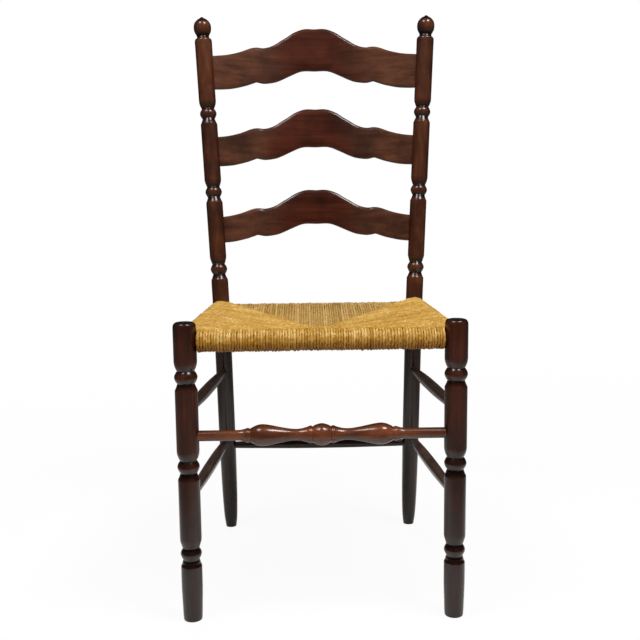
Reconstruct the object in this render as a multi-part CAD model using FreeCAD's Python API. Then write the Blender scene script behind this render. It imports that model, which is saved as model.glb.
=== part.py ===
import FreeCAD
import Part
import math
import os
from FreeCAD import Vector

# A ladderback dining chair: turned legs, three bowed slats, turned stretchers and a rush seat.
# Millimetres, +Z up, the front of the chair faces -Y, the floor is z = 0.

# Places of the legs and posts, measured on their axes
front_leg_y = -229.0
front_leg_spacing = 398.0
front_leg_height = 457.0
back_foot_y = 168.0
back_foot_spacing = 345.0
knee_y = 133.0
knee_spacing = 355.0
knee_height = 430.0
post_top_y = 221.0
post_top_spacing = 418.0
post_top_height = 965.0
bend_tangent = 80.0

# Turned rings: their heights, and the shaft radii below, between and above them
leg_ring_heights = (105.5, 240.0, 375.8)
leg_radii = (15.9, 16.4, 16.9, 17.2)
leg_foot_radius = 14.3
post_ring_heights = (502.0, 643.0, 786.5)
post_radii = (15.3, 15.1, 15.3, 15.8)
post_foot_radius = 9.8
ring_neck_depth = 4.3
ring_neck_offset = 9.6
ring_reach = 20.5

# Turned pieces are lofted through regular sections with this many sides
leg_sides = 20
front_stretcher_sides = 16
plain_stretcher_sides = 12
roll_sides = 16
round_cuts = 2
bend_cuts = 4

# Slats: name, height of the lower edge at the posts, width there, share of the full rise
slats = (
    ("top_slat", 833.3, 60.5, 1.0),
    ("middle_slat", 691.5, 52.3, 1.0),
    ("bottom_slat", 551.0, 45.8, 0.94),
)
slat_thickness = 10.0
slat_bow = 24.0
slat_tenon_stop = 1.5
peg_size = 4.0
peg_length = 20.0
peg_reach = 15.0

# Stretchers: side ones as name, height at the front leg, height at the back post
front_stretcher_height = 286.5
front_stretcher_radius = 8.0
back_stretcher_height = 165.0
back_stretcher_radius = 8.4
side_stretchers = (("upper", 323.0, 311.0), ("lower", 189.5, 177.0))
side_stretcher_radius = 9.3
stretcher_end_radius = 6.4
stretcher_tenon_stop = 3.0

# Seat rails, their tenons and the rush wound over them
front_rail_height = 430.0
back_rail_height = 420.0
side_rail_front_rise = 0.0
side_rail_back_rise = 8.0
rail_size = 24.0
rail_chamfer = 7.0
rail_shoulder = 19.0
rail_tenon_high = 14.0
rail_tenon_thick = 9.0
rail_tenon_stop = 5.0
rush_thickness = 6.0
seat_centre_top = 419.0
seat_centre_bottom = 405.0
leg_clearance = 0.4
packing_half_thickness = 6.5
packing_inset = 21.0
packing_reach = 0.66


def line(start, end):
    return Part.LineSegment(start, end).toShape()


def face_of(points):
    return Part.Face(Part.makePolygon(points + [points[0]]))


def mirrored(shape):
    return shape.mirror(Vector(0, 0, 0), Vector(1, 0, 0))


def mirror_point(point):
    return Vector(-point.x, point.y, point.z)


def section(centre, along, towards, radius, sides):
    """The corners of a regular section square to a direction, the first corner lying towards."""
    first = (towards - along * towards.dot(along)).normalize()
    second = along.cross(first)
    turns = [2 * math.pi * i / sides for i in range(sides)]
    return [centre + (first * math.cos(turn) + second * math.sin(turn)) * radius for turn in turns]


def loft(sections):
    """A closed solid with flat faces, ruled through sections with as many corners each."""
    faces = [face_of(sections[0][::-1]), face_of(sections[-1])]
    for one, other in zip(sections, sections[1:]):
        for i in range(len(one)):
            faces.append(face_of([one[i - 1], one[i], other[i], other[i - 1]]))
    return Part.makeSolid(Part.makeShell(faces))


def outline(steps):
    """Radii and distances along a turned outline. A step is (radius, distance), or the middle
    and the end of a round, which is cut in a few straight stretches."""
    points = [steps[0]]
    for step in steps[1:]:
        if isinstance(step[0], tuple):
            ends = [Vector(radius, place, 0) for radius, place in (points[-1], step[0], step[1])]
            cuts = step[2] if len(step) > 2 else round_cuts
            arc = Part.Arc(*ends).toShape()
            points += [(point.x, point.y) for point in arc.discretize(cuts + 1)[1:]]
        else:
            points.append(step)
    return points


def turned_sections(steps, start, along, towards, sides):
    """The sections of a turned outline whose distances run from start."""
    return [
        section(start + along * place, along, towards, radius, sides)
        for radius, place in outline(steps)
    ]


def rod(steps, start, end, sides):
    """A turned piece that lies between two points, with distances from the first one."""
    along = (end - start).normalize()
    return loft(turned_sections(steps, start, along, Vector(0, 0, 1), sides))


def bar(start, end, high, thick, chamfer=0.0):
    """A straight bar with an upright rectangular section whose four corners may be planed off."""
    along = (end - start).normalize()
    across = along.cross(Vector(0, 0, 1)).normalize()
    up = across.cross(along)
    corners = []
    for side, rise in ((1, 1), (-1, 1), (-1, -1), (1, -1)):
        x = side * thick / 2
        z = rise * high / 2
        if chamfer > 0:
            pair = [(x, z - rise * chamfer), (x - side * chamfer, z)]
            corners += pair if side == rise else pair[::-1]
        else:
            corners.append((x, z))
    section = face_of([start + across * x + up * z for x, z in corners])
    return section.extrude(end - start)


def ring(height, below, above):
    """The ring turned between two stretches of shaft: cove, bead, cove."""
    neck = (below + above) / 2 - ring_neck_depth
    bead = (below + above) / 2 + 0.1
    return [
        (below, height - ring_reach),
        ((below - 1.2, height - 14.0), (neck, height - ring_neck_offset)),
        (bead - 1.3, height - 3.2),
        ((bead, height), (bead - 1.3, height + 3.2)),
        (neck, height + ring_neck_offset),
        ((above - 1.2, height + 14.0), (above, height + ring_reach)),
    ]


def front_leg():
    top = front_leg_height
    shaft = leg_radii[-1]
    steps = [(leg_foot_radius - 2.2, 0), (leg_foot_radius, 2.6)]
    for i, height in enumerate(leg_ring_heights):
        steps += ring(height, leg_radii[i], leg_radii[i + 1])
    steps += [(shaft, top - 7.5), ((shaft - 1.7, top - 2.4), (shaft - 6.0, top))]
    foot = Vector(front_leg_spacing / 2, front_leg_y, 0)
    return loft(turned_sections(steps, foot, Vector(0, 0, 1), Vector(1, 0, 0), leg_sides))


foot_point = Vector(back_foot_spacing / 2, back_foot_y, 0)
knee_point = Vector(knee_spacing / 2, knee_y, knee_height)
top_point = Vector(post_top_spacing / 2, post_top_y, post_top_height)
lower_direction = (knee_point - foot_point).normalize()
upper_direction = (top_point - knee_point).normalize()
bend_start = knee_point - lower_direction * bend_tangent
bend_end = knee_point + upper_direction * bend_tangent


def post_axis(height):
    """The point at a height on the right post's axis, above or below its bend."""
    if height < knee_height:
        return foot_point + lower_direction * (height / lower_direction.z)
    return knee_point + upper_direction * ((height - knee_height) / upper_direction.z)


def bend_arc():
    """The axis of the steamed bend: its centre, turning axis, radius and angle in radians."""
    normal = lower_direction.cross(upper_direction).normalize()
    angle = lower_direction.getAngle(upper_direction)
    radius = bend_tangent / math.tan(angle / 2)
    centre = bend_start + normal.cross(lower_direction) * radius
    return centre, normal, radius, angle


def bend_point(height):
    """The point at a height on the right post's axis, within its bend."""
    centre, normal, radius, angle = bend_arc()
    arm = bend_start - centre
    share = (height - bend_start.z) / (bend_end.z - bend_start.z)
    turn = FreeCAD.Rotation(normal, math.degrees(angle) * share)
    return centre + turn.multVec(arm)


def bend_sections(radius):
    """Sections of the post from the start to the end of its bend."""
    centre, normal, _, angle = bend_arc()
    first = section(bend_start, lower_direction, normal, radius, leg_sides)
    sections = []
    for i in range(bend_cuts + 1):
        turn = FreeCAD.Rotation(normal, math.degrees(angle) * i / bend_cuts)
        sections.append([centre + turn.multVec(corner - centre) for corner in first])
    return sections


def finial(shaft, top):
    """The turned top of a post: a step, a neck, a ball and a small point."""
    return [
        (shaft, top - 47.0),
        (shaft - 1.5, top - 42.0),
        (shaft - 3.5, top - 41.2),
        ((11.1, top - 37.2), (12.2, top - 33.2)),
        ((16.5, top - 21.0), (12.2, top - 9.0), 5),
        (7.2, top - 4.8),
        (3.2, top - 2.0),
        (1.6, top),
    ]


def back_post():
    """One stick, bent at seat height, whose foot is sawn level with the floor."""
    normal = bend_arc()[1]
    spare = 6.0
    lower = [
        (post_foot_radius - 1.2, 0),
        (post_foot_radius, spare + 1.0),
        ((12.0, spare + 16.0), (13.6, spare + 50.0)),
        (14.6, spare + 95.0),
        (post_radii[0], spare + 190.0),
    ]
    upper = []
    slope = upper_direction.z
    for i, height in enumerate(post_ring_heights):
        upper += ring((height - bend_end.z) / slope, post_radii[i], post_radii[i + 1])
    upper += finial(post_radii[-1], (post_top_height - bend_end.z) / slope)

    below_floor = foot_point - lower_direction * spare
    sections = turned_sections(lower, below_floor, lower_direction, normal, leg_sides)
    sections += bend_sections(post_radii[0])
    sections += turned_sections(upper, bend_end, upper_direction, normal, leg_sides)
    below = Part.makeBox(100, 100, 50, Vector(foot_point.x - 50, foot_point.y - 50, -50))
    return loft(sections).cut(below)


def rounded_path(corners):
    """Edges through (across, up, radius) corners, each corner rounded to its radius."""
    edges = []
    places = [Vector(x, 0, z) for x, z, _ in corners]
    here = places[0]
    for i in range(1, len(corners) - 1):
        corner = places[i]
        radius = corners[i][2]
        if radius > 0:
            back = (places[i - 1] - corner).normalize()
            ahead = (places[i + 1] - corner).normalize()
            half = back.getAngle(ahead) / 2
            reach = radius / math.tan(half)
            inward = (back + ahead).normalize()
            middle = corner + inward * (radius / math.sin(half) - radius)
            enter = corner + back * reach
            leave = corner + ahead * reach
            edges.append(line(here, enter))
            edges.append(Part.Arc(enter, middle, leave).toShape())
            here = leave
        else:
            edges.append(line(here, corner))
            here = corner
    edges.append(line(here, places[-1]))
    return edges


def both_ways(corners):
    """Mirrors a half outline that starts at the middle of the slat."""
    left = [(-x, z, radius) for x, z, radius in reversed(corners)]
    return left + corners[1:]


def slat_face(half, width, rise):
    """The scalloped slat: a level crest, long shoulders and a small knuckle near each post."""
    upper = [
        (0, 55.9, 0),
        (24.7, 57.0, 36),
        (88.0, 17.4, 50),
        (109.5, 21.2, 14),
        (160.0, 2.0, 90),
        (half, 0, 0),
    ]
    lower = [
        (0, 38.0, 0),
        (20.5, 38.9, 28),
        (82.5, 11.8, 56),
        (110.0, 16.3, 0),
        (150.0, 1.6, 90),
        (half, 0, 0),
    ]
    top = rounded_path(both_ways([(x, width + z * rise, radius) for x, z, radius in upper]))
    bottom = rounded_path(both_ways([(x, z * rise, radius) for x, z, radius in lower]))
    ends = [line(Vector(x, 0, 0), Vector(x, 0, width)) for x in (-half, half)]
    return Part.Face(Part.Wire(Part.__sortEdges__(top + bottom + ends)))


def bent_board(half, high):
    """A board of the slat's thickness, bowed back between its ends."""
    thick = slat_thickness / 2
    reach = half + 5.0
    sag = slat_bow * ((reach / half) ** 2 - 1)
    ends = []
    arcs = []
    for side in (-thick, thick):
        left = Vector(-reach, side - sag, 0)
        right = Vector(reach, side - sag, 0)
        arcs.append(Part.Arc(left, Vector(0, slat_bow + side, 0), right).toShape())
        ends.append((left, right))
    caps = [line(ends[0][i], ends[1][i]) for i in (0, 1)]
    section = Part.Face(Part.Wire(Part.__sortEdges__(arcs + caps)))
    return section.extrude(Vector(0, 0, high))


def slat(start_height, width, rise):
    """A scalloped outline cut from a bent board, tilted with the posts."""
    foot = post_axis(start_height)
    half = post_axis(start_height + width / 2).x - slat_tenon_stop
    face = slat_face(half, width, rise)
    face.translate(Vector(0, -40, 0))
    shape = face.extrude(Vector(0, 100, 0)).common(bent_board(half, width + 60.0))
    rake = math.degrees(math.atan2(upper_direction.y, upper_direction.z))
    shape.rotate(Vector(0, 0, 0), Vector(1, 0, 0), -rake)
    shape.translate(Vector(0, foot.y, foot.z))
    return shape


def slat_pegs():
    """Square pegs driven from behind through the posts into the slat tenons, left a little proud."""
    pegs = []
    backwards = Vector(0, upper_direction.z, -upper_direction.y).normalize()
    for _, start_height, width, _ in slats:
        tenon = post_axis(start_height + width / 2) - Vector(7.0, 0, 0)
        outer = tenon + backwards * peg_reach
        peg = bar(outer - backwards * peg_length, outer, peg_size, peg_size)
        pegs += [peg, mirrored(peg)]
    return pegs


def front_stretcher():
    """A ball at the centre, then on each side a collar, a vase and a ring, and plain ends."""
    right = Vector(front_leg_spacing / 2 - stretcher_tenon_stop, front_leg_y, front_stretcher_height)
    plain = front_stretcher_radius
    half = outline([
        (16.4, 0),
        ((15.3, 7.4), (12.1, 13.4)),
        (13.1, 17.0),
        (11.6, 23.5),
        ((8.4, 36.5), (10.2, 54.0), 3),
        (14.0, 73.0),
        ((16.1, 88.0), (12.6, 101.5), 3),
        (plain + 1.9, 106.8),
        (plain + 2.7, 110.8),
        (plain, 119.0),
        (plain, right.x),
    ])
    whole = [(radius, right.x - place) for radius, place in reversed(half)]
    whole += [(radius, right.x + place) for radius, place in half[1:]]
    return rod(whole, mirror_point(right), right, front_stretcher_sides)


def swelled_rod(start, end, middle_radius):
    """A plain stretcher that swells from its slender ends to its middle."""
    length = (end - start).Length
    ends = stretcher_end_radius
    steps = [
        (ends, 0),
        (ends, 20.0),
        (middle_radius, length * 0.4),
        (middle_radius, length * 0.6),
        (ends, length - 20.0),
        (ends, length),
    ]
    return rod(steps, start, end, plain_stretcher_sides)


def back_stretcher():
    right = post_axis(back_stretcher_height) - Vector(stretcher_tenon_stop, 0, 0)
    return swelled_rod(mirror_point(right), right, back_stretcher_radius)


def side_stretcher(front_height, back_height):
    front = Vector(front_leg_spacing / 2, front_leg_y, front_height)
    back = post_axis(back_height)
    way = (back - front).normalize() * stretcher_tenon_stop
    return swelled_rod(front + way, back - way, side_stretcher_radius)


front_corner = Vector(front_leg_spacing / 2, front_leg_y, front_rail_height)
back_corner = bend_point(back_rail_height)
seat_centre = Vector(0, (front_corner.y + back_corner.y) / 2, 0)


def seat_sides():
    """The four sides of the seat as name, first corner and second corner, at rail height."""
    right_front = front_corner + Vector(0, 0, side_rail_front_rise)
    right_back = back_corner + Vector(0, 0, side_rail_back_rise)
    return (
        ("front", mirror_point(front_corner), front_corner),
        ("right", right_front, right_back),
        ("back", back_corner, mirror_point(back_corner)),
        ("left", mirror_point(right_back), mirror_point(right_front)),
    )


def seat_rail(first, second):
    """A planed rail with shouldered tenons."""
    way = (second - first).normalize()
    start = first + way * rail_shoulder
    end = second - way * rail_shoulder
    body = bar(start, end, rail_size, rail_size, rail_chamfer)
    tip = way * rail_tenon_stop
    tenons = bar(first + tip, second - tip, rail_tenon_high, rail_tenon_thick)
    return body.fuse(tenons)


def wedge(first, second, centre, outer, inner_above, inner_below):
    """A three-sided block with upright sides, outer above and below its first two corners."""
    lift = Vector(0, 0, outer)
    top = [first + lift, second + lift, Vector(centre.x, centre.y, inner_above)]
    base = [first - lift, second - lift, Vector(centre.x, centre.y, inner_below)]
    faces = [face_of(top), face_of(base)]
    for i in range(3):
        after = (i + 1) % 3
        faces.append(face_of([top[i], top[after], base[after], base[i]]))
    return Part.makeSolid(Part.makeShell(faces))


def seat_packing(first, second):
    """The stuffing between the upper and lower strands of one panel."""
    middle = (first + second) / 2
    level = Vector(seat_centre.x, seat_centre.y, middle.z)
    inward = (level - middle).normalize() * packing_inset
    ends = (second - first).normalize() * (packing_inset + 27.0)
    tip = middle + (level - middle) * packing_reach
    centre_height = (seat_centre_top + seat_centre_bottom) / 2
    height = middle.z + (centre_height - middle.z) * packing_reach
    start = first + inward + ends
    end = second + inward - ends
    return wedge(start, end, tip, packing_half_thickness, height + 3.0, height - 3.0)


def corner_gap(corner):
    """How far from a corner's axis the rush starts, clear of the front leg or the back post."""
    radius = leg_radii[-1] if corner.y < seat_centre.y else post_radii[0]
    return radius + leg_clearance


def rush_panel(first, second):
    """The strands of one side: a roll over the rail and a panel, mitred to its neighbours."""
    radius = rail_size / 2 + rush_thickness
    length = (second - first).Length
    roll_steps = [(radius, corner_gap(first)), (radius, length - corner_gap(second))]
    roll = rod(roll_steps, first, second, roll_sides)
    panel = wedge(first, second, seat_centre, radius - 0.8, seat_centre_top, seat_centre_bottom)
    corners = [seat_centre]
    for corner in (first, second):
        corners.append(seat_centre + (Vector(corner.x, corner.y, 0) - seat_centre) * 1.3)
    mitre = face_of(corners).extrude(Vector(0, 0, post_top_height))
    return roll.fuse(panel).common(mitre)


def rush_seat(rails, packings):
    """The woven seat: four panels that meet on the mitre lines, open round the legs."""
    leg_steps = [(corner_gap(front_corner), place) for place in (-60.0, 60.0)]
    up = Vector(0, 0, 1)
    front_hole = loft(turned_sections(leg_steps, front_corner, up, Vector(1, 0, 0), leg_sides))
    back_hole = loft(bend_sections(corner_gap(back_corner)))
    holes = [front_hole, mirrored(front_hole), back_hole, mirrored(back_hole)]
    panels = []
    for _, first, second in seat_sides():
        panels += rush_panel(first, second).cut(holes).cut(rails).cut(packings).Solids
    return Part.makeCompound(panels)


def build():
    leg = front_leg()
    post = back_post()
    slat_shapes = {name: slat(start, width, rise) for name, start, width, rise in slats}
    rungs = {name: side_stretcher(front, back) for name, front, back in side_stretchers}
    rails = {name: seat_rail(first, second) for name, first, second in seat_sides()}
    packings = {name: seat_packing(first, second) for name, first, second in seat_sides()}
    front_rung = front_stretcher()
    back_rung = back_stretcher()
    pegs = slat_pegs()
    side_members = list(rungs.values()) + [rails["right"]]

    leg = leg.cut([front_rung, rails["front"]] + side_members)
    post = post.cut(list(slat_shapes.values()) + [back_rung, rails["back"]] + side_members + pegs)

    pieces = {
        "front_leg_right": leg,
        "front_leg_left": mirrored(leg),
        "back_post_right": post,
        "back_post_left": mirrored(post),
        "slat_pegs": Part.makeCompound(pegs),
        "front_stretcher": front_rung,
        "back_stretcher": back_rung,
        "rush_seat": rush_seat(list(rails.values()), list(packings.values())),
    }
    for name, shape in slat_shapes.items():
        pieces[name] = shape.cut(pegs)
    for name, shape in rungs.items():
        pieces["side_stretcher_" + name + "_right"] = shape
        pieces["side_stretcher_" + name + "_left"] = mirrored(shape)
    for name, shape in rails.items():
        pieces["seat_rail_" + name] = shape
    for name, shape in packings.items():
        pieces["seat_packing_" + name] = shape
    return pieces


os.makedirs("parts", exist_ok=True)
for node, shape in build().items():
    shape.exportStep("parts/" + node + ".step")
    volume = round(shape.Volume / 1000, 1)
    print(node, len(shape.Solids), "solid(s)", volume, "cm3", "valid" if shape.isValid() else "NOT VALID")
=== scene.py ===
import math
import random
import bmesh
import bpy
from mathutils import Matrix, Vector


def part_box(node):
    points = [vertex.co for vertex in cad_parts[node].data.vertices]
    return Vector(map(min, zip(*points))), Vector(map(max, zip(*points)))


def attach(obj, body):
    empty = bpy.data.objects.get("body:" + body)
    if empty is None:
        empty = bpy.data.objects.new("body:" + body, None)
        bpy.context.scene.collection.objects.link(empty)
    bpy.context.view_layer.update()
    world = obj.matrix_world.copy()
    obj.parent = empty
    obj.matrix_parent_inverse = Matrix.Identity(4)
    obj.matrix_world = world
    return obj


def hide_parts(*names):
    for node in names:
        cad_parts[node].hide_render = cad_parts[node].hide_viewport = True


# A ladderback chair of stained, lacquered wood with a seat of wound rush.
# Sizes in the dictionaries are millimetres, turned to metres where a piece is made.
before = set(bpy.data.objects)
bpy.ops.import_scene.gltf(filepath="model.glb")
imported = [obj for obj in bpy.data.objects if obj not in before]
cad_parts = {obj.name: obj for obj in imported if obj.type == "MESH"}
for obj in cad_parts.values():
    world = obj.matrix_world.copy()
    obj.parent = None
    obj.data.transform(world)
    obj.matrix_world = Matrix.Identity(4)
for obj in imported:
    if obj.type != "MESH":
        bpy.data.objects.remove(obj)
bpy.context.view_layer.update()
mm = 0.001
samePoint = 1e-6      # points closer than this are one
curveCuts = 4         # parts that each stretch of a smooth line is cut in


# places that the frame gives, in millimetres
def frameCentre(node):
    low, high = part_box(node)
    return (low + high) / 2 / mm


def frameTop(node):
    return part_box(node)[1].z / mm


chair = {
    "legY": frameCentre("front_leg_right").y,
    "legX": frameCentre("front_leg_right").x,
    "legTop": frameTop("front_leg_right"),
    "postTop": frameTop("back_post_right"),
    "stretcherY": frameCentre("front_stretcher").y,
    "stretcherZ": frameCentre("front_stretcher").z,
}

# the right back post's axis: foot, knee and top, and how far from the knee the bend begins and ends
postAxis = {
    "foot": Vector((172.5, 168.0, 0.0)),
    "knee": Vector((177.5, 133.0, 430.0)),
    "top": Vector((209.0, 221.0, 965.0)),
    "tangent": 80.0,
}


def mirrorX(point):
    return Vector((-point[0], point[1], point[2]))


def curveThrough(points, cuts=curveCuts):
    # a smooth line through its points
    points = [Vector(p) for p in points]
    first = points[0] * 2 - points[1]
    last = points[-1] * 2 - points[-2]
    chain = [first] + points + [last]
    line = [points[0]]
    for a, b, c, d in zip(chain, chain[1:], chain[2:], chain[3:]):
        for i in range(1, cuts + 1):
            t = i / cuts
            line.append(0.5 * (2 * b + (c - a) * t + (2 * a - 5 * b + 4 * c - d) * t * t
                               + (3 * b - a - 3 * c + d) * t ** 3))
    return line


def joinStretches(stretches):
    # smooth stretches that meet in crisp corners; two points make a straight one
    line = [Vector(stretches[0][0])]
    for stretch in stretches:
        if (Vector(stretch[0]) - line[-1]).length > samePoint:
            line.append(Vector(stretch[0]))
        line += curveThrough(stretch, curveCuts if len(stretch) > 2 else 1)[1:]
    return line


# shares of the widest radius between which the painted shade in the coves and at the feet, partly stain
# gathered there, deepens
grooveShadeLook = {"shallow": 0.98, "deep": 0.74, "colour": "#5c524e"}


def spunPiece(outline, steps, shadedGrooves=False):
    # outline is (radius, distance) pairs, spun about Z
    bm = bmesh.new()
    verts = [bm.verts.new((max(r, 0.0) * mm, 0.0, z * mm)) for r, z in outline]
    edges = [bm.edges.new(pair) for pair in zip(verts, verts[1:])]
    bmesh.ops.spin(bm, geom=verts + edges, cent=(0, 0, 0), axis=(0, 0, 1), angle=math.tau,
                   steps=steps, use_merge=True)
    bmesh.ops.remove_doubles(bm, verts=bm.verts, dist=samePoint)
    if shadedGrooves:
        # painted shade, partly stain gathered there: darker where the turning is cut in and where a foot
        # tapers
        widest = max(r for r, z in outline)
        depth = grooveShadeLook["shallow"] - grooveShadeLook["deep"]
        groove = bm.verts.layers.float.new("groove")
        for vert in bm.verts:
            share = vert.co.xy.length / mm / widest
            vert[groove] = min(max((grooveShadeLook["shallow"] - share) / depth, 0.0), 1.0)
    return bm


def finishPiece(bm, name, material, nodes, sharpAngle=34):
    # joins points that meet, marks the crisp edges and hangs the piece on the chair
    bmesh.ops.remove_doubles(bm, verts=bm.verts, dist=samePoint)
    bmesh.ops.recalc_face_normals(bm, faces=bm.faces)
    for face in bm.faces:
        face.smooth = True
    for edge in bm.edges:
        edge.smooth = not (edge.is_manifold and edge.calc_face_angle(0) > math.radians(sharpAngle))
    mesh = bpy.data.meshes.new(name)
    bm.to_mesh(mesh)
    bm.free()
    hangPiece(mesh, name, material, nodes)


def dressMesh(mesh, material):
    mesh.materials.clear()
    mesh.materials.append(material)


def hangPiece(mesh, name, material, nodes):
    dressMesh(mesh, material)
    piece = bpy.data.objects.new(name, mesh)
    bpy.context.collection.objects.link(piece)
    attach(piece, "root")
    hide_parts(*nodes)


def alongAxis(start, end):
    # turns +Z to run from start to end, in metres
    way = Vector(end) - Vector(start)
    return Matrix.Translation(Vector(start) * mm) @ way.to_track_quat("Z", "Y").to_matrix().to_4x4()


def hexColour(code):
    # sRGB hex to the linear colour that the shaders want
    parts = [int(code[i:i + 2], 16) / 255 for i in (1, 3, 5)]
    return [c / 12.92 if c <= 0.04045 else ((c + 0.055) / 1.055) ** 2.4 for c in parts] + [1.0]


def addNode(tree, kind, settings=None, links=None):
    # settings are node properties, input values by socket name or number, or the stops of a ramp
    node = tree.nodes.new("ShaderNode" + kind)
    for key, value in (settings or {}).items():
        if key == "stops":
            elements = node.color_ramp.elements
            while len(elements) < len(value):
                elements.new(0.5)
            for element, (place, code) in zip(elements, value):
                element.position = place
                element.color = hexColour(code) if isinstance(code, str) else (code, code, code, 1)
        elif isinstance(key, int) or key in node.inputs:
            node.inputs[key].default_value = value
        else:
            setattr(node, key, value)
    for key, source in (links or {}).items():
        tree.links.new(source, node.inputs[key])
    return node


def newMaterial(name):
    material = bpy.data.materials.new(name)
    material.use_nodes = True
    tree = material.node_tree
    return material, tree, tree.nodes["Principled BSDF"]


# settings of a Mix node: 0 is its share, 6 and 7 the two colours
blended = {"data_type": "RGBA", "blend_type": "MIX"}
darkened = {"data_type": "RGBA", "blend_type": "MULTIPLY"}

woodLook = {
    "poreWidth": 0.9,      # a pore line is far finer, so it is drawn about a millimetre wide to show
    "streakWidth": 9.0,
    "cloudWidth": 60.0,
    "grainStretch": 16.0,
    "streakStops": (0.26, 0.50, 0.76),      # where the noise shows the dark, middle and light stain
    "cloudStops": (0.40, 0.68),             # where the glaze begins and is thickest
    "glazeShare": 0.72,
    "poreStops": ((0.36, 0.8), (0.56, 1.0)),
    "poreShare": 0.55,
    "edgeShadeFrom": 0.35,
    "edgeShadeTo": 0.95,
    "edgeShadeShare": 0.9,
    "edgeShadeColour": "#6a5048",
    "dullFrom": 0.3,
    "dullTo": 0.7,
    "glossiest": -0.06,    # added to a wood's roughness, as the next is
    "dullest": 0.1,
    "reliefStrength": 0.12,
    "reliefDepth": 0.3,
    "ior": 1.5,
    "woodSheen": 0.12,
    "lacquerRoughness": 0.19,
}


def stainedWood(name, grainAxis, dark, middle, light, glaze, lacquer=0.8, roughness=0.34,
                tint="#e0c6b6", tonerAndShade=None):
    # Close-grained hardwood under a dark wiping stain and semi-gloss lacquer: fine streaks with
    # the grain, a cloudy glaze wiped thicker in places, and a clear coat with crisp highlights.
    material, tree, shader = newMaterial(name)
    place = addNode(tree, "TexCoord").outputs["Object"]
    stretch = [1.0, 1.0, 1.0]
    stretch["XYZ".index(grainAxis)] = 1.0 / woodLook["grainStretch"]
    along = addNode(tree, "Mapping", {"Scale": stretch}, {"Vector": place}).outputs[0]
    streaks = addNode(tree, "TexNoise", {"Scale": 1000 / woodLook["streakWidth"], "Detail": 4.0,
                                         "Roughness": 0.5, "Distortion": 0.4}, {"Vector": along})
    pores = addNode(tree, "TexNoise", {"Scale": 1000 / woodLook["poreWidth"], "Detail": 2.0},
                    {"Vector": along})
    clouds = addNode(tree, "TexNoise", {"Scale": 1000 / woodLook["cloudWidth"], "Detail": 3.0,
                                        "Roughness": 0.55}, {"Vector": place})
    stains = list(zip(woodLook["streakStops"], (dark, middle, light)))
    stain = addNode(tree, "ValToRGB", {"stops": stains}, {"Fac": streaks.outputs["Fac"]})
    cloudy = addNode(tree, "ValToRGB", {"stops": list(zip(woodLook["cloudStops"], (0.0, 1.0)))},
                     {"Fac": clouds.outputs["Fac"]})
    thickness = addNode(tree, "Math", {"operation": "MULTIPLY", 1: woodLook["glazeShare"]},
                        {0: cloudy.outputs["Color"]})
    colour = addNode(tree, "Mix", {**blended, 7: hexColour(glaze)},
                     {0: thickness.outputs[0], 6: stain.outputs["Color"]})
    if tonerAndShade:
        # toner sprayed thickest near the middle of a board; the same darkening towards the foot of a leg
        # or post is painted shade under the seat
        axes = addNode(tree, "SeparateXYZ", {}, {0: place})
        distance = addNode(tree, "Math", {"operation": "ABSOLUTE"}, {0: axes.outputs[tonerAndShade["axis"]]})
        wavy = addNode(tree, "Math", {"operation": "MULTIPLY_ADD", 1: tonerAndShade["waver"] * mm},
                       {0: clouds.outputs["Fac"], 2: distance.outputs[0]})
        near, far = [(reach + tonerAndShade["waver"] / 2) * mm for reach in tonerAndShade["fade"]]
        amount = addNode(tree, "MapRange", {"From Min": near, "From Max": far, "To Min": 1.0,
                                            "To Max": 0.0, "interpolation_type": "SMOOTHSTEP"},
                         {"Value": wavy.outputs[0]})
        colour = addNode(tree, "Mix", {**darkened, 7: hexColour(tonerAndShade["colour"])},
                         {0: amount.outputs[0], 6: colour.outputs[2]})
    # painted shade in the coves and at the feet, partly stain gathered there
    shadedGrooves = addNode(tree, "Attribute", {"attribute_name": "groove"})
    colour = addNode(tree, "Mix", {**darkened, 7: hexColour(grooveShadeLook["colour"])},
                     {0: shadedGrooves.outputs["Fac"], 6: colour.outputs[2]})
    poreShade = addNode(tree, "ValToRGB", {"stops": woodLook["poreStops"]},
                        {"Fac": pores.outputs["Fac"]})
    colour = addNode(tree, "Mix", {**darkened, 0: woodLook["poreShare"]},
                     {6: colour.outputs[2], 7: poreShade.outputs["Color"]})
    # painted shade: the wood is darkened where it turns away from the eye, towards its outline
    facing = addNode(tree, "LayerWeight", {"Blend": 0.5}).outputs["Facing"]
    edgeShade = addNode(tree, "MapRange", {"From Min": woodLook["edgeShadeFrom"],
                                        "From Max": woodLook["edgeShadeTo"],
                                        "To Max": woodLook["edgeShadeShare"]}, {"Value": facing})
    colour = addNode(tree, "Mix", {**darkened, 7: hexColour(woodLook["edgeShadeColour"])},
                     {0: edgeShade.outputs[0], 6: colour.outputs[2]})
    tree.links.new(colour.outputs[2], shader.inputs["Base Color"])
    dull = addNode(tree, "MapRange", {"From Min": woodLook["dullFrom"], "From Max": woodLook["dullTo"],
                                      "To Min": roughness + woodLook["glossiest"],
                                      "To Max": roughness + woodLook["dullest"]},
                   {"Value": clouds.outputs["Fac"]})
    tree.links.new(dull.outputs[0], shader.inputs["Roughness"])
    relief = addNode(tree, "Math", {"operation": "ADD"},
                     {0: pores.outputs["Fac"], 1: streaks.outputs["Fac"]})
    bump = addNode(tree, "Bump", {"Strength": woodLook["reliefStrength"],
                                  "Distance": woodLook["reliefDepth"] * mm},
                   {"Height": relief.outputs[0]})
    tree.links.new(bump.outputs[0], shader.inputs["Normal"])
    shader.inputs["IOR"].default_value = woodLook["ior"]
    shader.inputs["Specular IOR Level"].default_value = woodLook["woodSheen"]
    shader.inputs["Coat Weight"].default_value = lacquer
    shader.inputs["Coat Roughness"].default_value = woodLook["lacquerRoughness"]
    shader.inputs["Coat Tint"].default_value = hexColour(tint)
    return material


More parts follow.
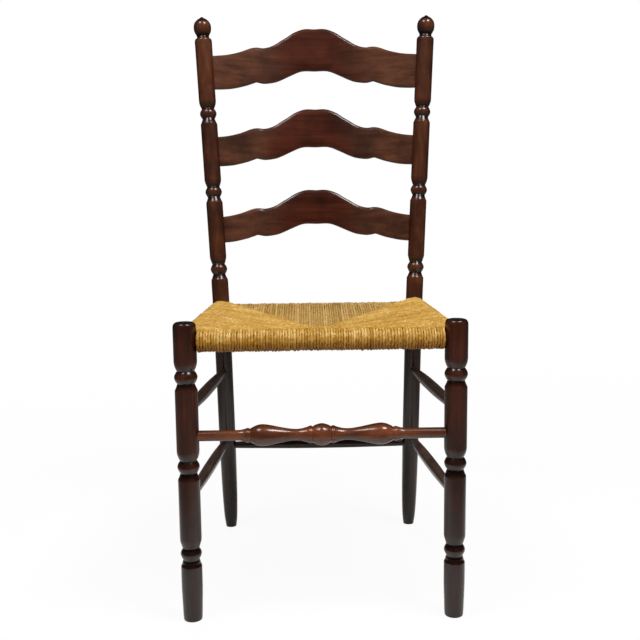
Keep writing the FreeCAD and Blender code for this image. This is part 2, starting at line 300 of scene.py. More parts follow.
# the leaves' pattern lies on each strand's own UV map, and the shares weigh what makes up the tone
rushLook = {
    "fibreWidth": 2.4,      # a fibre is finer than a millimetre, so it is drawn coarser to show
    "fleckWidth": 5.0,
    "patchWidth": 38.0,
    "leafScale": 9.0,
    "leafStretch": (3.0, 1.2, 1.0),
    "strandShare": 0.3,
    "patchShare": 0.24,
    "fleckShare": 0.36,
    "leafShare": 0.25,
    "fibreShare": 0.2,
    "toneStops": (0.42, 0.56, 0.69, 0.86),
    "rollShadeColour": "#fcdc90",
    "reliefStrength": 0.5,
    "reliefDepth": 0.6,
    "roughness": 0.38,
    "ior": 1.45,
    "waxiness": 0.6,
    "sheen": 0.1,
    "sheenRoughness": 0.4,
    "sheenColour": "#e0a030",
}


def woundRush(name, shadow, dark, middle, light):
    # Dried rush twisted into cord: straw gold with brown and pale leaves, a waxy sheen along the
    # fibres, and painted shade: a deeper gold below the crest on the outer face of the rolls.
    material, tree, shader = newMaterial(name)
    place = addNode(tree, "TexCoord").outputs["Object"]
    wrap = addNode(tree, "TexCoord").outputs["UV"]
    along = addNode(tree, "Mapping", {"Scale": rushLook["leafStretch"]}, {"Vector": wrap}).outputs[0]
    leaves = addNode(tree, "TexNoise", {"Scale": rushLook["leafScale"], "Detail": 3.0}, {"Vector": along})
    patches = addNode(tree, "TexNoise", {"Scale": 1000 / rushLook["patchWidth"], "Detail": 4.0,
                                         "Roughness": 0.6}, {"Vector": place})
    flecks = addNode(tree, "TexNoise", {"Scale": 1000 / rushLook["fleckWidth"], "Detail": 2.0},
                     {"Vector": place})
    fibres = addNode(tree, "TexNoise", {"Scale": 1000 / rushLook["fibreWidth"], "Detail": 2.0},
                     {"Vector": place})
    strand = addNode(tree, "Attribute", {"attribute_name": "strandTone"})
    tone = addNode(tree, "Math", {"operation": "MULTIPLY", 1: rushLook["strandShare"]},
                   {0: strand.outputs["Fac"]})
    for source, share in ((patches, "patchShare"), (flecks, "fleckShare"), (leaves, "leafShare"),
                          (fibres, "fibreShare")):
        tone = addNode(tree, "Math", {"operation": "MULTIPLY_ADD", 1: rushLook[share]},
                       {0: source.outputs["Fac"], 2: tone.outputs[0]})
    colours = (shadow, dark, middle, light)
    colour = addNode(tree, "ValToRGB", {"stops": list(zip(rushLook["toneStops"], colours))},
                     {"Fac": tone.outputs[0]})
    # painted shade: the outer face of the roll turns a deeper gold below its crest
    rollShading = addNode(tree, "Attribute", {"attribute_name": "rubbed"})
    rubbed = addNode(tree, "Mix", {**darkened, 7: hexColour(rushLook["rollShadeColour"])},
                     {0: rollShading.outputs["Fac"], 6: colour.outputs["Color"]})
    tree.links.new(rubbed.outputs[2], shader.inputs["Base Color"])
    bump = addNode(tree, "Bump", {"Strength": rushLook["reliefStrength"],
                                  "Distance": rushLook["reliefDepth"] * mm},
                   {"Height": leaves.outputs["Fac"]})
    tree.links.new(bump.outputs[0], shader.inputs["Normal"])
    shader.inputs["Roughness"].default_value = rushLook["roughness"]
    shader.inputs["IOR"].default_value = rushLook["ior"]
    shader.inputs["Specular IOR Level"].default_value = rushLook["waxiness"]
    shader.inputs["Sheen Weight"].default_value = rushLook["sheen"]
    shader.inputs["Sheen Roughness"].default_value = rushLook["sheenRoughness"]
    shader.inputs["Sheen Tint"].default_value = hexColour(rushLook["sheenColour"])
    return material


# on the legs and posts the toner is painted shade, darkening and greying them towards the feet under the
# seat; on the slats it is a real toner
legWood = stainedWood("stained beech, upright grain", "Z", "#361b10", "#502a1a", "#6a3926", "#2b1a14",
                      tonerAndShade={"axis": "Z", "fade": (60.0, 420.0), "waver": 60.0, "colour": "#c4c2c6"})
postWood = stainedWood("stained beech, back posts", "Z", "#4c2e22", "#68402c", "#80543c", "#38231b",
                       tonerAndShade={"axis": "Z", "fade": (300.0, 450.0), "waver": 20.0, "colour": "#84878b"})
slatWood = stainedWood("stained beech, cross grain", "X", "#4c2f21", "#644131", "#76503b", "#2c1b15",
                       lacquer=0.6,
                       tonerAndShade={"axis": "X", "fade": (30.0, 120.0), "waver": 120.0, "colour": "#d0a498"})
showWood = stainedWood("stained beech, rubbed lighter", "X", "#5a3524", "#845238", "#aa6d4a", "#42281b",
                       lacquer=1.0, roughness=0.28)
# painted sheen: the side rungs' stain is paler and greyer than the rest of the wood to stand for the grey
# sheen on their upper faces
rungWoodPaledForSheen = stainedWood("stained beech, side rungs, painted grey sheen", "Y", "#625048", "#866e62", "#a28c80", "#4e4038",
                       tint="#ecdcd4")
backRungWood = stainedWood("stained beech, back rung", "X", "#2a1b16", "#372118", "#482a20", "#221614")
rawWood = stainedWood("planed beech, unfinished", "X", "#8a6a44", "#a9855a", "#c19c6e", "#94744c",
                      lacquer=0.0, roughness=0.6, tint="#ffffff")
rushGold = woundRush("twisted rush, straw gold", "#6f4a14", "#a47726", "#c89a42", "#f0d490")
rushBrown = woundRush("twisted rush, weathered", "#553a16", "#936e34", "#c09a56", "#e2c88c")
looseRush = woundRush("chopped rush stuffing", "#5e4219", "#8d6a30", "#ac8746", "#cfae68")
print("materials made")


# The ring that is turned at each step of a leg or post: crisp shoulder, cove, bead, neck and a
# rounded shoulder above. Each point is a radius it starts from, what is added, and its height.
ringShape = (
    (("below", 0, -21.4), ("below", -0.15, -19.4), ("below", -0.9, -17.9), ("below", -1.9, -15.6),
     ("neck", 0.9, -12.4), ("neck", 0, -9.6)),
    (("neck", 0, -9.6), ("bead", -2.5, -6.9), ("bead", -0.85, -3.6), ("bead", 0, 0),
     ("bead", -0.85, 3.6), ("bead", -2.5, 6.7), ("neck", 0, 9.2)),
    (("neck", 0, 9.2), ("neck", 1.0, 11.2), ("above", -2.0, 14.4), ("above", -0.7, 18.6),
     ("above", -0.1, 22.4), ("above", 0, 25.0)),
)


def ringStretches(turning, i, place):
    radii = {"below": turning["shafts"][i], "bead": turning["beads"][i],
             "neck": turning["necks"][i], "above": turning["shafts"][i + 1]}
    return [[(radii[part] + more, place + height) for part, more, height in stretch]
            for stretch in ringShape]


# radius and height pairs; the crown's are counted from the top shaft's radius and the leg's top
frontLeg = {
    "steps": 72,
    "ringPlaces": (105.3, 240.0, 375.5),
    "shafts": (15.9, 16.3, 16.9, 17.2),
    "beads": (15.9, 16.6, 17.2),
    "necks": (12.4, 12.4, 12.8),
    "sole": ((0, 0), (12.4, 0)),
    "foot": ((12.4, 0), (13.8, 1.0), (14.2, 3.6)),
    "taper": ((14.2, 3.6), (14.6, 10), (15.0, 23), (15.5, 38), (15.9, 54)),
    "crown": ((0, -8.5), (-0.5, -4.6), (-2.1, -1.7), (-4.6, -0.25), (-7.0, 0)),
}


def frontLegOutline():
    stretches = [frontLeg["sole"], frontLeg["foot"], frontLeg["taper"]]
    for i, place in enumerate(frontLeg["ringPlaces"]):
        stretches += ringStretches(frontLeg, i, place)
    top = chair["legTop"]
    crown = [(frontLeg["shafts"][-1] + more, top + height) for more, height in frontLeg["crown"]]
    stretches += [crown, [crown[-1], (0, top)]]
    return joinStretches(stretches)


for side, sign in (("right", 1), ("left", -1)):
    leg = spunPiece(frontLegOutline(), frontLeg["steps"], shadedGrooves=True)
    bmesh.ops.translate(leg, verts=leg.verts, vec=Vector((sign * chair["legX"], chair["legY"], 0)) * mm)
    finishPiece(leg, "front_leg_turned_" + side, legWood, ["front_leg_" + side])
print("front legs turned")


# turned straight, then bent at the knee; the foot starts below the floor and is sawn level with it,
# and the finial's heights are counted from the post's top
backPost = {
    "steps": 64,
    "ringPlaces": (502.0, 643.0, 786.5),
    "shafts": (15.3, 15.1, 15.3, 15.6),
    "beads": (15.2, 15.2, 15.3),
    "necks": (11.2, 11.2, 11.2),
    "foot": ((9.4, -6.0), (9.9, 1.0), (11.1, 10), (12.1, 19), (13.0, 35), (13.9, 60), (14.5, 90),
             (15.0, 140), (15.4, 200)),
    "plainRadius": 15.4,
    "plainCuts": range(200, 480, 20),
    "finial": (
        ((15.8, -56), (15.9, -48), (15.6, -44.5), (14.6, -42.6)),
        ((14.6, -42.6), (12.4, -41.8)),
        ((12.4, -41.8), (11.4, -39.4), (11.2, -37.4), (11.5, -35.2), (12.4, -33.0)),
        ((12.4, -33.0), (14.2, -29.9), (15.5, -26.4), (16.1, -22.2), (16.1, -19.2), (15.7, -15.8),
         (14.5, -12.3), (12.2, -9.0), (9.3, -6.0), (6.8, -4.2)),
        ((6.8, -4.2), (4.6, -3.0), (3.0, -1.7), (1.8, -0.5), (0, -0.1)),
    ),
}

lowerWay = (postAxis["knee"] - postAxis["foot"]).normalized()
upperWay = (postAxis["top"] - postAxis["knee"]).normalized()
bendAngle = lowerWay.angle(upperWay)
bendAxis = lowerWay.cross(upperWay).normalized()
bendRadius = postAxis["tangent"] / math.tan(bendAngle / 2)
bendStart = postAxis["knee"] - lowerWay * postAxis["tangent"]
bendEnd = postAxis["knee"] + upperWay * postAxis["tangent"]
bendCentre = bendStart + bendAxis.cross(lowerWay) * bendRadius
bendLength = bendRadius * bendAngle
startLength = (bendStart - postAxis["foot"]).length
endLength = startLength + bendLength


def alongPost(height):
    # how far along the stick a height above the floor lies
    if height < bendStart.z:
        return height / lowerWay.z
    if height > bendEnd.z:
        return endLength + (height - postAxis["knee"].z) / upperWay.z - postAxis["tangent"]
    return startLength + (height - bendStart.z) / (bendEnd.z - bendStart.z) * bendLength


def placeOnPost(point):
    # carries a point of the straight stick, in millimetres, onto the bent one
    length = min(max(point.z, startLength), endLength)
    turn = Matrix.Rotation((length - startLength) / bendRadius, 3, bendAxis)
    way = turn @ lowerWay
    centre = bendCentre + turn @ (bendStart - bendCentre) + way * (point.z - length)
    return centre + bendAxis * point.x + way.cross(bendAxis) * point.y


def postPoint(height):
    return placeOnPost(Vector((0, 0, alongPost(height))))


def backPostOutline():
    sole = backPost["foot"][0]
    stretches = [[(0, sole[1]), sole], backPost["foot"]]
    cuts = backPost["plainCuts"]
    stretches += [[(backPost["plainRadius"], z), (backPost["plainRadius"], z + cuts.step)] for z in cuts]
    for i, height in enumerate(backPost["ringPlaces"]):
        stretches += ringStretches(backPost, i, alongPost(height))
    top = alongPost(chair["postTop"])
    stretches += [[(r, top + z) for r, z in stretch] for stretch in backPost["finial"]]
    return joinStretches(stretches)


for side, sign in (("right", 1), ("left", -1)):
    post = spunPiece(backPostOutline(), backPost["steps"], shadedGrooves=True)
    for vert in post.verts:
        vert.co = placeOnPost(vert.co / mm) * mm
    bmesh.ops.bisect_plane(post, geom=post.verts[:] + post.edges[:] + post.faces[:], plane_co=(0, 0, 0),
                           plane_no=(0, 0, 1), clear_inner=True)
    rim = [edge for edge in post.edges if edge.is_boundary]
    bmesh.ops.contextual_create(post, geom=rim)
    if sign < 0:
        bmesh.ops.scale(post, vec=(-1, 1, 1), verts=post.verts)
    finishPiece(post, "back_post_turned_" + side, postWood, ["back_post_" + side])
print("back posts turned and bent")


# Outline heights over the slat's foot and width, from the middle outwards. The arris is pairs of
# distance down from the top edge and recess of the front face. Between the first two values of
# arrisFade, counted from the middle, it narrows to the share that is the third.
slatShape = {
    "thick": 10.0,
    "bow": 24.0,
    "axisGap": 2.0,           # from each end to the post's axis
    "edge": 1.6,
    "edgeSegments": 3,
    "cornerAngle": 1.2,       # radians; a flatter edge isn't eased
    "leastRun": 0.2,          # sideways run of an edge that is eased
    "sharpAngle": 75,
    "columns": 150,
    "curveCuts": 8,
    "arris": ((0, 4.4), (0.6, 2.9), (1.1, 2.1), (1.6, 1.65), (4.6, 0.5), (5.6, 0.18), (7.2, 0)),
    "arrisFade": (95.0, 140.0, 0.3),
    "plainRows": 5,
    "upper": ((0, 51.5), (16, 52.2), (28, 49.7), (41, 44.0), (52, 36.7), (64, 29.5), (75, 22.6),
              (86, 18.1), (97, 16.2), (108, 17.2), (120, 15.2), (140, 7.7), (162, 2.5), (186, 0)),
    "lower": ((0, 34.0), (19, 34.5), (30, 32.5), (42, 27.5), (53, 22.5), (64, 17.5), (76, 13.4),
              (95, 11.2), (110, 13.9)),
    "lowerOuter": ((110, 13.9), (121, 9.9), (132, 6.5), (154, 1.7), (176, 0), (190, 0)),
    "pieces": (
        {"name": "top", "foot": 833.3, "width": 60.5, "rise": 1.0},
        {"name": "middle", "foot": 691.5, "width": 52.3, "rise": 1.0},
        {"name": "bottom", "foot": 551.0, "width": 45.8, "rise": 0.94},
    ),
}


def heightAt(line, x):
    x = abs(x)
    for a, b in zip(line, line[1:]):
        if a.x <= x <= b.x:
            return a.y + (b.y - a.y) * (x - a.x) / max(b.x - a.x, samePoint)
    return line[-1].y


upperLine = curveThrough(slatShape["upper"], slatShape["curveCuts"])
lowerLine = (curveThrough(slatShape["lower"], slatShape["curveCuts"])
             + curveThrough(slatShape["lowerOuter"], slatShape["curveCuts"]))


def makeSlat(piece):
    thick = slatShape["thick"]
    half = postPoint(piece["foot"] + piece["width"] / 2).x - slatShape["axisGap"]
    foot = postPoint(piece["foot"])
    bm = bmesh.new()
    arris = slatShape["arris"]
    fadeStart, fadeEnd, endArris = slatShape["arrisFade"]
    rows = slatShape["plainRows"] + len(arris) - 1
    bmesh.ops.create_grid(bm, x_segments=slatShape["columns"], y_segments=rows, size=0.5)
    for vert in bm.verts:
        x = vert.co.x * 2 * half
        low = heightAt(lowerLine, x) * piece["rise"]
        high = piece["width"] + heightAt(upperLine, x) * piece["rise"]
        row = round((vert.co.y + 0.5) * rows)
        drop, recess = arris[min(rows - row, len(arris) - 1)]
        recess *= 1 - (1 - endArris) * min(max((abs(x) - fadeStart) / (fadeEnd - fadeStart), 0), 1)
        share = min(row / slatShape["plainRows"], 1.0)
        vert.co = Vector((x, recess - thick / 2, low + (high - drop - low) * share))
    back = bmesh.ops.extrude_face_region(bm, geom=bm.faces[:], use_keep_orig=True)
    for item in back["geom"]:
        if isinstance(item, bmesh.types.BMVert):
            item.co.y = thick / 2
    bmesh.ops.recalc_face_normals(bm, faces=bm.faces)

    def rimEdges(frontSide, upperSide):
        found = []
        for edge in bm.edges:
            a, b = edge.verts
            upright = abs(a.co.x - b.co.x) < slatShape["leastRun"]
            elsewhere = (a.co.y < thick / 2) != frontSide or (b.co.y < thick / 2) != frontSide
            if upright or elsewhere or edge.calc_face_angle(0) < slatShape["cornerAngle"]:
                continue
            middle = (a.co + b.co) / 2
            low = heightAt(lowerLine, middle.x) * piece["rise"]
            isUpper = middle.z > low + piece["width"] / 2
            if isUpper == upperSide:
                found.append(edge)
        return found

    # the front's upper edge has its arris already
    for isFront, isUpper in ((True, False), (False, True), (False, False)):
        bmesh.ops.bevel(bm, geom=rimEdges(isFront, isUpper), offset=slatShape["edge"],
                        segments=slatShape["edgeSegments"], profile=0.5, affect="EDGES", material=-1,
                        clamp_overlap=True)
    # bow the board back between the posts, then lean it with them
    rake = math.atan2(upperWay.y, upperWay.z)
    lean = Vector((0, math.sin(rake), math.cos(rake)))
    out = Vector((0, math.cos(rake), -math.sin(rake)))
    for vert in bm.verts:
        x, y, z = vert.co
        bow = slatShape["bow"] * (1 - (x / half) ** 2)
        centre = Vector((x, foot.y, foot.z + (bow - thick / 2) * math.sin(rake)))
        vert.co = (centre + lean * (z / math.cos(rake)) + out * (bow + y)) * mm
    finishPiece(bm, piece["name"] + "_slat_bowed", slatWood, [piece["name"] + "_slat"],
                slatShape["sharpAngle"])


for piece in slatShape["pieces"]:
    makeSlat(piece)
print("slats bowed")


# radius and distance pairs from the middle ball outwards
frontStretcher = {
    "steps": 72,
    "half": (
        ((16.4, 0), (16.0, 3.5), (14.2, 9.4), (12.3, 12.7)),
        ((12.3, 12.7), (11.7, 13.6)),
        ((11.7, 13.6), (12.7, 14.8), (13.1, 16.8), (12.9, 18.6)),
        ((12.9, 18.6), (11.8, 20.6), (10.4, 25.0), (9.2, 30.0), (8.5, 36.5), (8.8, 44.5), (10.0, 53.0),
         (11.7, 62.0), (13.6, 71.0), (15.3, 80.0), (16.1, 88.0), (15.2, 95.0), (12.9, 100.8),
         (11.1, 104.4)),
        ((11.1, 104.4), (10.0, 105.6), (9.9, 106.9)),
        ((9.9, 106.9), (10.7, 108.6), (10.8, 110.8), (9.9, 113.2)),
        ((9.9, 113.2), (9.0, 116.4), (8.3, 120.0), (8.0, 125.0), (8.0, 150.0), (7.9, 196.0)),
    ),
}


def makeFrontStretcher():
    half = joinStretches(frontStretcher["half"])
    line = [Vector((0, -half[-1].y))] + [Vector((p.x, -p.y)) for p in reversed(half)] + half[1:]
    line.append(Vector((0, half[-1].y)))
    bm = spunPiece(line, frontStretcher["steps"])
    middle = Vector((0, chair["stretcherY"], chair["stretcherZ"]))
    bmesh.ops.transform(bm, matrix=alongAxis(middle, middle + Vector((1, 0, 0))), verts=bm.verts)
    finishPiece(bm, "front_stretcher_turned", showWood, ["front_stretcher"])


makeFrontStretcher()

# The swell's rows run from an end to near the middle: share of the swell and what is added to the
# radius, share of the length and what is added to the distance. The side rungs' heights are those
# at the front leg and at the back post.
plainRungs = {
    "steps": 40,
    "endRadius": 6.3,
    "sideRadius": 9.5,
    "backRadius": 8.4,
    "swell": ((0, 0, 0, 0), (0, 0, 0, 16), (0, 0.5, 0, 34), (0.55, 0, 0.21, 0), (1, -0.25, 0.35, 0)),
    "backHeight": 165.0,
    "sides": (("upper", 323.0, 311.0), ("lower", 189.5, 177.0)),
}


def rungBetween(start, end, radius, name, material, nodes):
    # slender ends that swell to a long even middle
    length = (end - start).length
    thin = plainRungs["endRadius"]
    half = [(thin + (radius - thin) * fill + more, length * share + further)
            for fill, more, share, further in plainRungs["swell"]]
    swell = half + [(radius, length / 2)] + [(r, length - z) for r, z in reversed(half)]
    outline = joinStretches([[(0, 0), (thin, 0)], swell, [(thin, length), (0, length)]])
    bm = spunPiece(outline, plainRungs["steps"])
    bmesh.ops.transform(bm, matrix=alongAxis(start, end), verts=bm.verts)
    finishPiece(bm, name, material, nodes)


backEnd = postPoint(plainRungs["backHeight"])
rungBetween(mirrorX(backEnd), backEnd, plainRungs["backRadius"], "back_stretcher_turned", backRungWood,
            ["back_stretcher"])
for level, frontHeight, backHeight in plainRungs["sides"]:
    for side, sign in (("right", 1), ("left", -1)):
        start = Vector((sign * chair["legX"], chair["legY"], frontHeight))
        end = postPoint(backHeight)
        end.x *= sign
        rungBetween(start, end, plainRungs["sideRadius"], "side_stretcher_turned_" + level + "_" + side,
                    rungWoodPaledForSheen, ["side_stretcher_" + level + "_" + side])
print("stretchers turned")


# cords wound over the rails, shorter and shorter towards the middle
rush = {
    "strandRadius": 2.1,
    "sectionPoints": 9,
    "lobes": 0.1,
    "crestHeight": 9.0,            # over the rail's axis, where the painted shade below the crest begins
    "rollShadeFall": 16.0,            # from there down to the deepest painted shade
    "railHalf": 8.0,
    "centreTop": 419.0,
    "centreBottom": 405.0,
    "frontRail": 429.0,
    "backRail": 420.0,
    "leftBackRise": 8.0,
    "rightBackRise": 10.5,
    "legGap": 18.2,
    "postGap": 16.4,
    "twistPitch": 22.0,
    "samples": 4,
    "widths": (0.82, 1.2),         # shares of the even width
    "overlap": 1.06,
    "thickness": (0.94, 1.06),
    "sway": 0.35,
    "slack": (-1.8, 1.0),
    "slackEvery": 10,              # strands from one slack to the next
    "swellFrom": 0.3,              # share of the way to the middle
    "middleSwell": 0.3,
    "middleTone": 0.5,
}

# one turn of a strand, from the mitre over the rail and back beneath
strandTurn = {
    "overShares": (0.9, 0.72, 0.54, 0.36, 0.18, 0.0),
    "roundDegrees": (80, 110, 140, 170, 200, 230, 260),
    "underShares": (0.0, 0.2, 0.45, 0.7, 0.92),
    "straightFrom": 0.55,      # share of the roll's radius
    "straightShort": 3.0,      # from the straight run's end to the mitre
    "roundLoose": 1.035,
    "pastMitre": 3.0,
    "beforeMitre": 0.5,
    "overDip": 1.2,
    "underDip": 1.0,
    "endDip": 5.0,
    "rollUneven": 0.4,
    "overUneven": 0.25,
    "underUneven": 0.4,
}

seatBackCorner = postPoint(rush["backRail"])
seatFrontCorner = Vector((chair["legX"], chair["legY"], rush["frontRail"]))
seatCentreY = (seatBackCorner.y + seatFrontCorner.y) / 2
rightBackCorner = seatBackCorner + Vector((0, 0, rush["rightBackRise"]))
leftBackCorner = mirrorX(seatBackCorner) + Vector((0, 0, rush["leftBackRise"]))
seatPanels = (
    {"name": "front", "start": mirrorX(seatFrontCorner), "end": seatFrontCorner,
     "inward": Vector((0, 1, 0)), "strands": 88, "gaps": ("legGap", "legGap"), "rolls": (14.8, 14.8),
     "spread": 0.12, "look": rushGold},
    {"name": "right", "start": seatFrontCorner, "end": rightBackCorner,
     "inward": Vector((-1, 0, 0)), "strands": 80, "gaps": ("legGap", "postGap"), "rolls": (13.0, 15.9),
     "spread": 0.08, "look": rushGold},
    {"name": "back", "start": seatBackCorner, "end": mirrorX(seatBackCorner),
     "inward": Vector((0, -1, 0)), "strands": 75, "gaps": ("postGap", "postGap"), "rolls": (15.9, 15.9),
     "spread": 0.1, "look": rushBrown},
    {"name": "left", "start": leftBackCorner, "end": mirrorX(seatFrontCorner),
     "inward": Vector((1, 0, 0)), "strands": 80, "gaps": ("postGap", "legGap"), "rolls": (15.9, 13.0),
     "spread": 0.08, "look": rushGold},
)


def strandSection():
    # two leaves twisted together give the cord a slightly two-lobed section
    shape = bpy.data.curves.new("strandSection", "CURVE")
    shape.dimensions = "2D"
    spline = shape.splines.new("POLY")
    spline.points.add(rush["sectionPoints"] - 1)
    spline.use_cyclic_u = True
    for i, point in enumerate(spline.points):
        turn = math.tau * i / rush["sectionPoints"]
        radius = rush["strandRadius"] * (1 + rush["lobes"] * math.cos(2 * turn)) * mm
        point.co = (radius * math.cos(turn), radius * math.sin(turn), 0, 1)
    return bpy.data.objects.new("strandSection", shape)


def uneven(dice, most):
    return dice.uniform(-most, most)


def strandPath(reach, fullReach, rail, roll, slack, dice):
    # (inward, height) points of one turn
    roll += uneven(dice, strandTurn["rollUneven"])
    topFall = (rail + roll - (rush["centreTop"] - rush["strandRadius"])) / fullReach
    lowFall = (rail - roll - (rush["centreBottom"] + rush["strandRadius"])) / fullReach
    topMitre = roll - topFall * reach
    lowMitre = -roll - lowFall * reach
    past = reach + strandTurn["pastMitre"]
    before = reach - strandTurn["beforeMitre"]
    inner = roll * strandTurn["straightFrom"]
    straight = max(reach - strandTurn["straightShort"], inner) - inner
    points = [(past, topMitre - strandTurn["endDip"]), (before, topMitre - strandTurn["overDip"])]
    for share in strandTurn["overShares"]:
        a = inner + straight * share
        points.append((a, roll - topFall * a + uneven(dice, strandTurn["overUneven"])))
    for degrees in strandTurn["roundDegrees"]:
        turn = math.radians(degrees)
        hang = strandTurn["roundLoose"] + slack * max(-math.sin(turn), 0) / roll
        points.append((roll * hang * math.cos(turn), roll * hang * math.sin(turn)))
    for share in strandTurn["underShares"]:
        a = inner + straight * share
        points.append((a, -roll - lowFall * a + uneven(dice, strandTurn["underUneven"])))
    points += [(before, lowMitre + strandTurn["underDip"]), (past, lowMitre + strandTurn["endDip"])]
    return points


def windStrands(panel, section):
    # the panel's curve, with a spline for each strand, and the strands' tones
    dice = random.Random("rush " + panel["name"])
    start, end, inward = panel["start"], panel["end"], panel["inward"]
    length = (end - start).length
    way = (end - start) / length
    middle = (start + end) / 2
    fullReach = abs((Vector((0, seatCentreY, middle.z)) - middle).dot(inward))
    startGap, endGap = [rush[gap] for gap in panel["gaps"]]
    startRoll, endRoll = panel["rolls"]
    widths = [dice.uniform(*rush["widths"]) for _ in range(panel["strands"])]
    slackCount = panel["strands"] // rush["slackEvery"] + 2
    slackPoints = [(dice.uniform(*rush["slack"]), 0) for _ in range(slackCount)]
    slacks = curveThrough(slackPoints, rush["slackEvery"])
    pitch = (length - startGap - endGap) / sum(widths)
    curve = bpy.data.curves.new("rush " + panel["name"], "CURVE")
    curve.dimensions = "3D"
    curve.resolution_u = rush["samples"]
    curve.bevel_mode = "OBJECT"
    curve.bevel_object = section
    place = startGap
    tones = []
    for width, slack in zip(widths, slacks):
        width *= pitch
        place += width / 2
        share = place / length
        rail = start + way * place
        reach = fullReach * (1 - abs(2 * share - 1))
        roll = startRoll + (endRoll - startRoll) * share
        path = strandPath(reach, fullReach, rail.z, roll, slack.x, dice)
        spline = curve.splines.new("NURBS")
        spline.points.add(len(path) - 1)
        tilt = dice.uniform(0, math.tau)
        size = width / (2 * rush["strandRadius"]) * rush["overlap"]
        last = path[0]
        for point, (a, h) in zip(spline.points, path):
            sway = way * uneven(dice, rush["sway"])
            tilt += math.dist(last, (a, h)) / rush["twistPitch"] * math.tau
            last = (a, h)
            point.co = ((rail + inward * a + Vector((0, 0, h)) + sway) * mm).to_4d()
            point.tilt = tilt
            # the strands close up towards the middle, so that no light shows between them
            swell = 1 + rush["middleSwell"] * max(a / fullReach - rush["swellFrom"], 0)
            point.radius = size * dice.uniform(*rush["thickness"]) * swell
        spline.order_u = 4
        spline.use_endpoint_u = True
        spline.use_smooth = True
        place += width / 2
        tones.append(min(max(dice.gauss(rush["middleTone"], panel["spread"]), 0.0), 1.0))
    return curve, tones


def markStrands(mesh, panel, tones):
    # each strand's tone, and how much painted shade deepens the outer face of the roll to a darker gold
    # below its crest
    start, end = panel["start"], panel["end"]
    way = (end - start) / (end - start).length
    perStrand = len(mesh.vertices) // len(tones)
    tone = mesh.attributes.new("strandTone", "FLOAT", "POINT")
    rubbed = mesh.attributes.new("rubbed", "FLOAT", "POINT")
    for i, vert in enumerate(mesh.vertices):
        tone.data[i].value = tones[i // perStrand]
        offset = vert.co / mm - start
        rise = offset.z - way.z * offset.dot(way)
        if offset.dot(panel["inward"]) < rush["railHalf"]:
            rubbed.data[i].value = min(max((rush["crestHeight"] - rise) / rush["rollShadeFall"], 0.0), 1.0)


def makePanel(panel, section):
    curve, tones = windStrands(panel, section)
    holder = bpy.data.objects.new("holder", curve)
    bpy.context.collection.objects.link(holder)
    ready = holder.evaluated_get(bpy.context.evaluated_depsgraph_get())
    mesh = bpy.data.meshes.new_from_object(ready)
    bpy.data.objects.remove(holder)
    bpy.data.curves.remove(curve)
    markStrands(mesh, panel, tones)
    bm = bmesh.new()
    bm.from_mesh(mesh)
    bmesh.ops.holes_fill(bm, edges=[edge for edge in bm.edges if edge.is_boundary], sides=0)
    bmesh.ops.recalc_face_normals(bm, faces=bm.faces)
    for face in bm.faces:
        face.smooth = True
    bm.to_mesh(mesh)
    bm.free()
    mesh.name = "rush " + panel["name"]
    hangPiece(mesh, "rush_wound_" + panel["name"], panel["look"], ["rush_seat"])
    print("rush", panel["name"], len(mesh.polygons), "faces")


sectionObject = strandSection()
for panel in seatPanels:
    makePanel(panel, sectionObject)
bpy.data.objects.remove(sectionObject)


# CAD pieces that stay, under the rush and in the posts
for node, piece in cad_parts.items():
    for kind, material in (("seat_rail", rawWood), ("seat_packing", looseRush), ("slat_pegs", postWood)):
        if node.startswith(kind):
            dressMesh(piece.data, material)
print("rails, packing and pegs dressed")


# this one is in metres, and the lamps' power in watts
studio = {
    "floorSize": 60.0,
    "floorDrop": 0.0006,
    "floorColour": "#f4f4f2",
    "bouncedColour": "#8a8886",
    "floorGlow": 0.92,
    "floorFade": (0.7, 2.2),
    "mirroredFloor": (0.45, 0.95),
    "gritPerMetre": 900.0,
    "gritStrength": 0.02,
    "floorRoughness": 0.9,
    "floorSheen": 0.1,
    "backdrop": 1.0,
    "roomLight": 0.2,
    "mirroredRoom": 0.04,
    "lamps": (
        {"name": "leftSoftbox", "place": (-1.1, -0.95, 3.1), "size": (1.1, 1.0), "power": 33,
         "mirrored": True},
        {"name": "rightSoftbox", "place": (1.12, -0.95, 3.1), "size": (1.1, 1.0), "power": 54,
         "mirrored": True},
        {"name": "frontFill", "place": (0.3, -2.9, 2.6), "size": (1.4, 1.4), "power": 34,
         "mirrored": False},
        {"name": "backFill", "place": (-0.6, 3.0, 1.7), "size": (1.6, 1.4), "power": 34,
         "mirrored": False},
    ),
    "lampAim": (0.0, -0.05, 0.6),
}


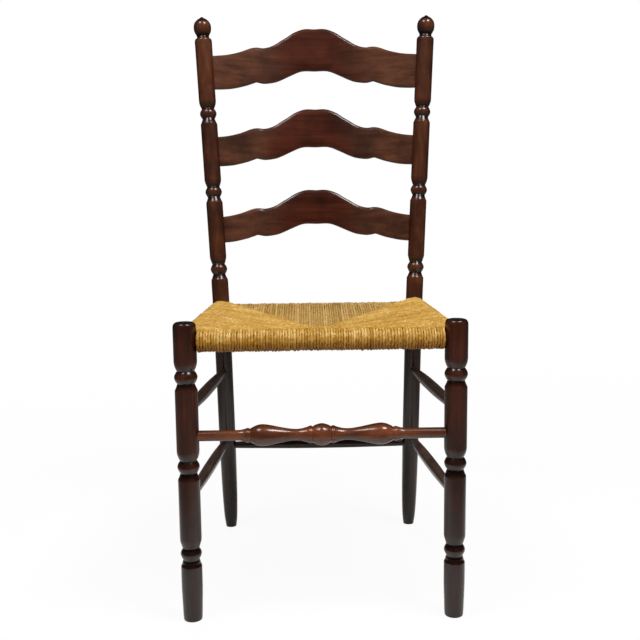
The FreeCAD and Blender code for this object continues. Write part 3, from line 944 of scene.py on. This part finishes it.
def makeFloor():
    bm = bmesh.new()
    bmesh.ops.create_grid(bm, x_segments=1, y_segments=1, size=studio["floorSize"] / 2)
    mesh = bpy.data.meshes.new("floor")
    bm.to_mesh(mesh)
    bm.free()
    floor = bpy.data.objects.new("floor", mesh)
    floor.location.z = -studio["floorDrop"]
    bpy.context.collection.objects.link(floor)
    # matt white paper: a glow that only the camera sees whitens it and leaves a soft shadow
    material, tree, shader = newMaterial("matt white paper")
    place = addNode(tree, "TexCoord").outputs["Object"]
    grit = addNode(tree, "TexNoise", {"Scale": studio["gritPerMetre"]}, {"Vector": place})
    bump = addNode(tree, "Bump", {"Strength": studio["gritStrength"]}, {"Height": grit.outputs["Fac"]})
    tree.links.new(bump.outputs[0], shader.inputs["Normal"])
    shader.inputs["Roughness"].default_value = studio["floorRoughness"]
    shader.inputs["Specular IOR Level"].default_value = studio["floorSheen"]
    path = addNode(tree, "LightPath")
    seen = path.outputs["Is Camera Ray"]
    away = addNode(tree, "VectorMath", {"operation": "LENGTH"}, {0: place}).outputs["Value"]
    # the lacquer mirrors pale paper only close to the chair
    near, far = studio["mirroredFloor"]
    close = addNode(tree, "MapRange", {"From Min": near, "From Max": far, "To Min": 1.0, "To Max": 0.0},
                    {"Value": away})
    pale = addNode(tree, "Math", {"operation": "MULTIPLY_ADD"},
                   {0: close.outputs[0], 1: path.outputs["Is Glossy Ray"], 2: seen})
    paper = addNode(tree, "Mix", {**blended, 6: hexColour(studio["bouncedColour"]),
                                  7: hexColour(studio["floorColour"])}, {0: pale.outputs[0]})
    tree.links.new(paper.outputs[2], shader.inputs["Base Color"])
    glow = addNode(tree, "Emission", {"Color": (1, 1, 1, 1), "Strength": 1.0})
    near, far = studio["floorFade"]
    white = addNode(tree, "MapRange", {"From Min": near, "From Max": far, "To Min": studio["floorGlow"],
                                       "To Max": 1.0}, {"Value": away})
    share = addNode(tree, "Math", {"operation": "MULTIPLY"}, {0: white.outputs[0], 1: seen})
    mixed = addNode(tree, "MixShader", {}, {0: share.outputs[0], 1: shader.outputs[0], 2: glow.outputs[0]})
    tree.links.new(mixed.outputs[0], tree.nodes["Material Output"].inputs["Surface"])
    mesh.materials.append(material)


def makeWorld():
    world = bpy.data.worlds.new("white studio")
    bpy.context.scene.world = world
    world.use_nodes = True
    tree = world.node_tree
    path = addNode(tree, "LightPath")
    shown = addNode(tree, "Math", {"operation": "MAXIMUM"},
                    {0: path.outputs["Is Camera Ray"], 1: path.outputs["Is Transmission Ray"]})
    # dark lacquer mirrors a dimmer room, as the photographed one did
    strength = addNode(tree, "Mix", {"data_type": "FLOAT", 2: studio["roomLight"],
                                     3: studio["mirroredRoom"]}, {0: path.outputs["Is Glossy Ray"]})
    strength = addNode(tree, "Mix", {"data_type": "FLOAT", 3: studio["backdrop"]},
                       {0: shown.outputs[0], 2: strength.outputs[0]})
    background = tree.nodes["Background"]
    background.inputs["Color"].default_value = (1, 1, 1, 1)
    tree.links.new(strength.outputs[0], background.inputs["Strength"])


def makeLamps():
    for lamp in studio["lamps"]:
        light = bpy.data.lights.new(lamp["name"], "AREA")
        light.shape = "ELLIPSE"
        light.size, light.size_y = lamp["size"]
        light.energy = lamp["power"]
        holder = bpy.data.objects.new(lamp["name"], light)
        holder.visible_glossy = lamp["mirrored"]
        place = Vector(lamp["place"])
        aim = Vector(studio["lampAim"]) - place
        holder.matrix_world = Matrix.Translation(place) @ aim.to_track_quat("-Z", "Y").to_matrix().to_4x4()
        bpy.context.collection.objects.link(holder)


# where the photograph was taken from, worked out from the edges, tops and feet of the legs and posts
view = {
    "place": (-18.4, -1575.4, 648.7),
    "right": (0.999839, -0.014464, -0.010621),
    "up": (0.012545, 0.140221, 0.990041),
    "lens": 52.42,
    "sensor": 36.0,
    "farthest": 100.0,      # metres
}


def makeCamera():
    camera = bpy.data.cameras.new("camera")
    camera.lens = view["lens"]
    camera.sensor_width = view["sensor"]
    camera.clip_end = view["farthest"]
    holder = bpy.data.objects.new("camera", camera)
    right, up = Vector(view["right"]), Vector(view["up"])
    turn = Matrix((right, up, right.cross(up))).transposed()
    holder.matrix_world = Matrix.Translation(Vector(view["place"]) * mm) @ turn.to_4x4()
    bpy.context.collection.objects.link(holder)
    bpy.context.scene.camera = holder


makeFloor()
makeWorld()
makeLamps()
makeCamera()
bpy.context.scene.view_settings.view_transform = "Standard"
print("studio set")
